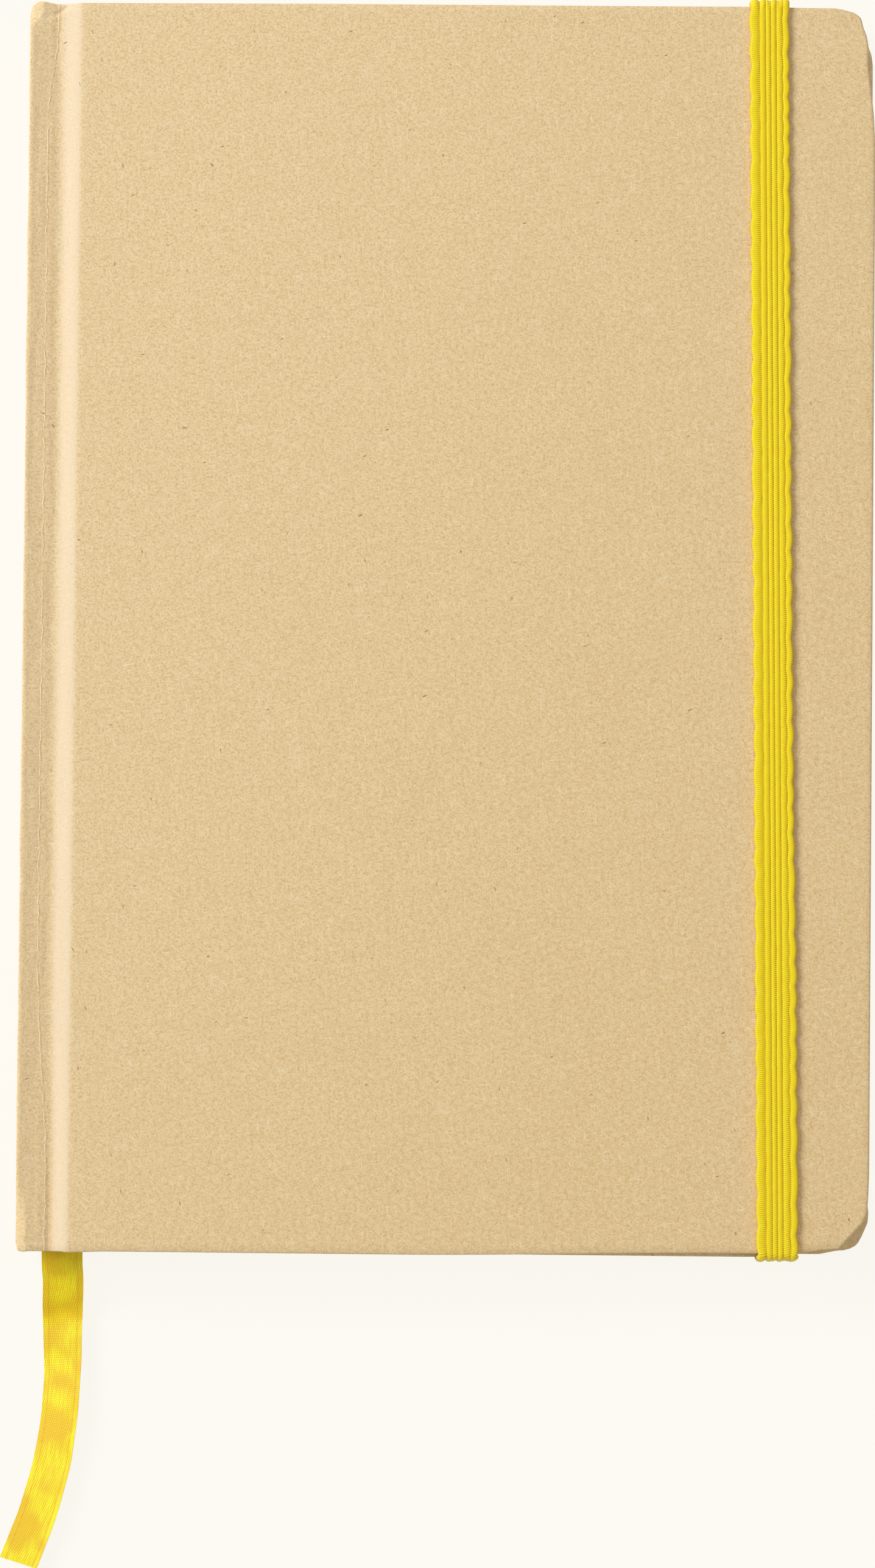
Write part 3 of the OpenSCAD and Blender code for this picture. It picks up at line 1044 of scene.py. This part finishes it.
def fibre_layers(tree, vector, angles, first_seed, length, width, few=0.3):
    """Fibres lying several ways, the strongest one showing."""
    return joined(tree, "MAXIMUM", [
        fibres(tree, vector, angle, first_seed + number, length, width, few)
        for number, angle in enumerate(angles)
    ])


def curl(tree, uv, scale, amount):
    """uv bent by soft noise, so that fibres drawn on it curl."""
    bend = node(tree, "TexNoise", {"Vector": uv, "Scale": scale, "Detail": 1.0})
    bend = node(tree, "VectorMath", {0: bend.outputs["Color"], 1: (0.5, 0.5, 0.5)},
                operation="SUBTRACT")
    bend = node(tree, "VectorMath", {0: bend.outputs[0], "Scale": amount}, operation="SCALE")
    return node(tree, "VectorMath", {0: uv, 1: bend.outputs[0]}, operation="ADD").outputs[0]


def kraft_material():
    """Recycled kraft: felted grain, pale fibres and a few dark flecks, with a painted light falloff
    from the top left, a painted highlight up the joints, and painted highlight and shade at the
    spine's crease.
    """
    material, tree, shader = new_material("kraft_paper", 0.88, 0.15, 0.04)
    uv = sheet_uv(tree)
    curled = curl(tree, uv, 0.5, 0.9)

    # Angles, first seed, length and width in millimetres, and the share that is left out
    long_fibres = fibre_layers(tree, curled, (12, 97, 143), 1, 4.2, 0.17, 0.88)
    short_fibres = fibre_layers(tree, curled, (5, 38, 70, 104, 135, 166), 20, 1.5, 0.13, 0.1)
    flecks = fibre_layers(tree, curled, (20, 110), 40, 1.3, 0.42, 0.998)
    clouds = noise_at(tree, uv, 0.045, 3.0)
    mottle = noise_at(tree, uv, 0.42, 3.0, 0.6)
    grain = noise_at(tree, uv, 2.6, 3.0, 0.6)
    place_on = node(tree, "SeparateXYZ", {"Vector": uv})
    u, v = place_on.outputs[0], place_on.outputs[1]
    # Painted light falloff: the colour runs from lighter at the top left to darker at the bottom
    # right, standing in for the key lamp's falloff
    slope = calc(tree, "MULTIPLY_ADD", v, -0.55, u)
    painted_light_falloff = remap(tree, slope, -40.0, 230.0)
    colour = mix_colour(tree, painted_light_falloff, (238, 213, 171), (230, 197, 141))
    colour = tint(tree, colour, remap(tree, clouds, 0.35, 0.65, 0.0, 0.25), (242, 214, 168))
    colour = tint(tree, colour, remap(tree, mottle, 0.3, 0.7, 0.0, 0.30), (220, 188, 134))
    colour = tint(tree, colour, remap(tree, grain, 0.62, 0.34, 0.0, 0.95), (213, 181, 127))
    colour = tint(tree, colour, short_fibres, (255, 232, 188), 0.75)
    colour = tint(tree, colour, long_fibres, (255, 238, 202), 0.8)
    ridge_u = RIDGE_Z - MID_Z - 0.43 * RIDGE_R
    # Painted highlight: a paler band up the joint's slope, which rises towards the board and faces
    # the light
    joint_highlight = times(tree, remap(tree, u, ridge_u + 5.4, ridge_u + 7.0),
                    remap(tree, u, ridge_u + 9.9, ridge_u + 9.0))
    colour = tint(tree, colour, joint_highlight, (242, 225, 198), 0.60)
    line, shade = crease_highlight_and_shade(tree, uv, u, v, ridge_u)
    # Painted shade on the right of the spine's crease and in the fold at the tail of the joint
    colour = tint(tree, colour, shade, (205, 166, 112), 0.30)
    # Painted highlight along the crease's raised line, on its lit side
    colour = tint(tree, colour, line, (255, 236, 200), 0.8)
    colour = tint(tree, colour, flecks, (140, 104, 62), 0.8)
    tree.links.new(colour, shader.inputs["Base Color"])
    height = grain
    for share, weight in ((long_fibres, 0.4), (short_fibres, 0.3), (line, 1.2), (shade, -0.8)):
        height = calc(tree, "MULTIPLY_ADD", share, weight, height)
    bump(tree, shader, height, 0.06, 0.6)
    return material


def crease_highlight_and_shade(tree, uv, u, v, ridge_u):
    """The wavy line where the spine's paper creases, in painted light: a painted highlight along
    its raised line, painted shade on its right side, and painted shade in the fold at the tail.
    """
    row = node(tree, "CombineXYZ", {"Y": v}).outputs[0]
    waves = calc(tree, "SUBTRACT", noise_at(tree, row, 0.35, 3.0, 0.6), 0.5)
    to_head = remap(tree, v, HALF_H - 20, HALF_H - 3, 0.0, 1.8)
    to_tail = remap(tree, v, 50 - HALF_H, 14 - HALF_H, 0.0, 1.5)
    middle = calc(tree, "MULTIPLY_ADD", waves, 1.1, ridge_u + CREASE_X)
    middle = calc(tree, "ADD", middle, calc(tree, "ADD", to_head, to_tail))
    off = calc(tree, "SUBTRACT", u, middle)
    broken = remap(tree, noise_at(tree, uv, 0.6, 2.0), 0.38, 0.60, 0.15, 1.0)
    # Painted highlight along the crease's raised line, and painted shade in a band just to its
    # right
    line = remap(tree, calc(tree, "ABSOLUTE", off), 0.15, 0.03)
    # Painted shade in the fold at the tail, along the bottom of the joint's groove
    tail_crease_shade = remap(tree, apart(tree, u, ridge_u + GROOVE_X + 0.55), 0.40, 0.05)
    tail_crease_shade = times(tree, tail_crease_shade, remap(tree, v, 36 - HALF_H, 10 - HALF_H))
    shade = times(tree, remap(tree, apart(tree, off, 0.26), 0.24, 0.06), broken)
    return times(tree, line, broken), calc(tree, "MAXIMUM", shade, tail_crease_shade)


def solid_mm(tree, x):
    """Place on a CAD solid, in millimetres from x to the right of the spine."""
    at = node(tree, "TexCoord").outputs["Object"]
    at = node(tree, "VectorMath", {0: at, "Scale": 1 / MM}, operation="SCALE").outputs[0]
    return node(tree, "VectorMath", {0: at, 1: (SPINE_X + x, 0, 0)},
                operation="SUBTRACT").outputs[0]


# Pitch of the printed lines and of the threads, in millimetres
RULING = 7.0
THREAD_PITCH = 0.34
WEFT_PITCH = 0.30
WARP_PITCH = 0.38


def paper_material(name, shade, ruled=False, solid=False):
    """Writing paper; ruled adds the lines printed across each page."""
    material, tree, shader = new_material(name, 0.8, 0.25)
    uv = solid_mm(tree, 0) if solid else sheet_uv(tree)
    cloud = noise_at(tree, uv, 0.5, 3.0)
    tooth = noise_at(tree, uv, 4.0, 2.0)
    colour = mix_colour(tree, remap(tree, cloud, 0.3, 0.7), shade, tuple(c - 5 for c in shade))
    if ruled:
        y = node(tree, "SeparateXYZ", {"Vector": uv}).outputs[1]
        step = calc(tree, "FRACT", calc(tree, "DIVIDE", y, RULING))
        line = remap(tree, apart(tree, step, 0.5), 0.020, 0.008)
        head = remap(tree, y, block_high.y - 17.4, block_high.y - 17.6)
        foot = remap(tree, y, block_low.y + 8.4, block_low.y + 8.6)
        line = times(tree, line, times(tree, head, foot))
        normal = node(tree, "NewGeometry").outputs["Normal"]
        up = node(tree, "SeparateXYZ", {"Vector": normal}).outputs[2]
        level = calc(tree, "ABSOLUTE", up)
        line = times(tree, line, remap(tree, level, 0.6, 0.9, 0.0, 0.75))
        colour = tint(tree, colour, line, (150, 158, 172))
    tree.links.new(colour, shader.inputs["Base Color"])
    bump(tree, shader, tooth, 0.02, 0.4)
    return material


def board_material():
    """Grey board, with flecks of recycled fibre."""
    material, tree, shader = new_material("grey_board", 0.9, 0.2)
    at = node(tree, "TexCoord").outputs["Object"]
    fleck = node(tree, "TexNoise", {"Vector": at, "Scale": 1800.0, "Detail": 3.0})
    colour = mix_colour(tree, remap(tree, fleck.outputs["Fac"], 0.35, 0.7),
                        (132, 126, 116), (168, 161, 149))
    tree.links.new(colour, shader.inputs["Base Color"])
    bump(tree, shader, fleck.outputs["Fac"], 0.05, 0.5)
    return material


def elastic_material():
    """Yellow polyester woven in slanting threads over each cord, with painted shade on each cord's
    right side, between its threads and at its edges.
    """
    material, tree, shader = new_material("woven_elastic", 0.62, 0.35, 0.15)
    uv = node(tree, "SeparateXYZ", {"Vector": sheet_uv(tree)})
    across, along = uv.outputs[0], uv.outputs[1]
    left = -BAND_W / 2
    shares, tilts = [], []
    for number, width in enumerate(CORD_WIDTHS):
        off = calc(tree, "SUBTRACT", across, left + width / 2)
        inside = calc(tree, "LESS_THAN", calc(tree, "ABSOLUTE", off), width / 2)
        shares.append(times(tree, inside, calc(tree, "DIVIDE", off, width / 2)))
        slope = -0.12 if number == 0 else (0.16 if number % 2 else -0.16)
        tilts.append(times(tree, shares[-1], slope))
        left += width
    groove, lean = joined(tree, "ADD", shares), joined(tree, "ADD", tilts)
    thread = wave(tree, calc(tree, "ADD", along, lean), THREAD_PITCH)
    thread = remap(tree, thread, -1.0, 0.9)
    # Painted shade: each cord turns darker and more orange towards its right side, away from the
    # light from the left
    turned = remap(tree, groove, -0.2, 0.9)
    # Painted shade at the edges of each cord, in the grooves where the cords meet
    edge = remap(tree, calc(tree, "ABSOLUTE", groove), 0.78, 1.0)
    patch = noise_at(tree, sheet_uv(tree), 0.7, 3.0)
    colour = mix_colour(tree, remap(tree, patch, 0.3, 0.7), (255, 240, 18), (255, 232, 14))
    # Painted shade in the grooves between the threads, stronger on each cord's right side
    thread_groove_shade = times(tree, calc(tree, "SUBTRACT", 1.0, thread),
                            calc(tree, "MULTIPLY_ADD", turned, 0.55, 0.30))
    colour = tint(tree, colour, turned, (252, 212, 14), 0.40)
    colour = tint(tree, colour, thread_groove_shade, (238, 182, 8))
    colour = tint(tree, colour, edge, (238, 180, 8), 0.35)
    tree.links.new(colour, shader.inputs["Base Color"])
    bump(tree, shader, thread, 0.07, 0.8)
    return material


def ribbon_material(name, solid=False):
    """Yellow satin: smooth floats along its length, and a selvage near each edge, with patches of
    painted shade standing in for its folds.
    """
    material, tree, shader = new_material(name, 0.46, 0.4, 0.05)
    sheet = solid_mm(tree, RIBBON_SET) if solid else sheet_uv(tree)
    uv = node(tree, "SeparateXYZ", {"Vector": sheet})
    across, along = uv.outputs[0], uv.outputs[1]
    streaks = node(tree, "Mapping", {
        "Vector": sheet, "Scale": (3.4, 0.22, 1), "Rotation": (0, 0, math.radians(4)),
    }).outputs[0]
    float_yarn = noise_at(tree, streaks, 1.0, 3.0, 0.6)
    weft = wave(tree, along, WEFT_PITCH)
    warp = wave(tree, calc(tree, "MULTIPLY_ADD", along, 0.22, across), WARP_PITCH)
    seam = apart(tree, calc(tree, "ABSOLUTE", across), RIBBON_W / 2 - 0.95)
    seam = remap(tree, seam, 0.20, 0.04)
    seam = times(tree, seam, remap(tree, weft, -0.4, 0.6, 0.35, 1.0))
    # Painted shade: darker patches that stand in for the shade of the satin's folds
    satin_fold_shade = remap(tree, noise_at(tree, sheet, 0.16, 1.0), 0.36, 0.62, 0.15, 1.0)
    colour = mix_colour(tree, remap(tree, float_yarn, 0.36, 0.62), (250, 218, 10), (254, 250, 22))
    colour = tint(tree, colour, remap(tree, warp, 0.2, -1.0, 0.0, 0.45), (230, 184, 8))
    colour = mix_colour(tree, satin_fold_shade, (238, 192, 10), colour)
    colour = tint(tree, colour, seam, (214, 160, 12), 0.55)
    tree.links.new(colour, shader.inputs["Base Color"])
    height = calc(tree, "MULTIPLY_ADD", warp, 0.8, weft)
    height = calc(tree, "MULTIPLY_ADD", seam, -2.0, height)
    bump(tree, shader, height, 0.03, 0.5)
    return material


def paint(obj, material):
    obj.data.materials.clear()
    obj.data.materials.append(material)


kraft = kraft_material()
for piece in (case_front, case_back):
    paint(piece, kraft)
grey_board = board_material()
for piece in boards + (spine_stiffener,):
    paint(piece, grey_board)
paint(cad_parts["spine_lining"], paper_material("lining_paper", (236, 229, 210), solid=True))
paint(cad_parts["ribbon_marker"], ribbon_material("ribbon_satin_inside", solid=True))
endpaper = paper_material("endpaper", (240, 234, 218))
for piece in endpapers:
    paint(piece, endpaper)
paint(page_leaves, paper_material("ruled_paper", (244, 239, 226), ruled=True))
paint(band, elastic_material())
paint(ribbon_tail, ribbon_material("ribbon_satin"))


# Floor, light and world

FLOOR_HALF = 4
FLOOR_GLOW = 0.92
WORLD_STRENGTH = 0.40

# Name, place, size, power and colour
LAMPS = (
    ("key", (-1.35, 0.6, 1.15), 0.9, 27.5, (1.0, 0.99, 0.97)),
    ("fill", (0.9, -0.5, 1.6), 1.2, 3.0, (0.97, 0.985, 1.0)),
)


def make_stage():
    mesh = bpy.data.meshes.new("floor")
    corners = [(x * FLOOR_HALF, y * FLOOR_HALF, 0) for x, y in ((-1, -1), (1, -1), (1, 1), (-1, 1))]
    mesh.from_pydata(corners, [], [(0, 1, 2, 3)])
    floor = bpy.data.objects.new("floor", mesh)
    scene.collection.objects.link(floor)
    material, tree, shader = new_material("pale_floor", 0.9, 0.0)
    shader.inputs["Base Color"].default_value = linear(252, 249, 242)
    rays = node(tree, "LightPath")
    seen = calc(tree, "MAXIMUM", rays.outputs["Is Camera Ray"], rays.outputs["Is Glossy Ray"])
    glow = node(tree, "Emission", {"Color": linear(254, 251, 244), "Strength": 1.0})
    share = times(tree, seen, FLOOR_GLOW)
    mixed = node(tree, "MixShader", {0: share, 1: shader.outputs[0], 2: glow.outputs[0]})
    tree.links.new(mixed.outputs[0], tree.nodes["Material Output"].inputs[0])
    mesh.materials.append(material)


def make_light(name, at, size, power, colour):
    data = bpy.data.lights.new(name, "AREA")
    data.size = size
    data.energy = power
    data.color = colour
    lamp = bpy.data.objects.new(name, data)
    lamp.location = at
    lamp.rotation_mode = "QUATERNION"
    lamp.rotation_quaternion = (-Vector(at)).to_track_quat("-Z", "Y")
    scene.collection.objects.link(lamp)


def make_world():
    world = bpy.data.worlds.new("studio")
    world.use_nodes = True
    background = world.node_tree.nodes["Background"]
    background.inputs["Color"].default_value = linear(255, 253, 250)
    background.inputs["Strength"].default_value = WORLD_STRENGTH
    scene.world = world


make_stage()
for lamp in LAMPS:
    make_light(*lamp)
make_world()
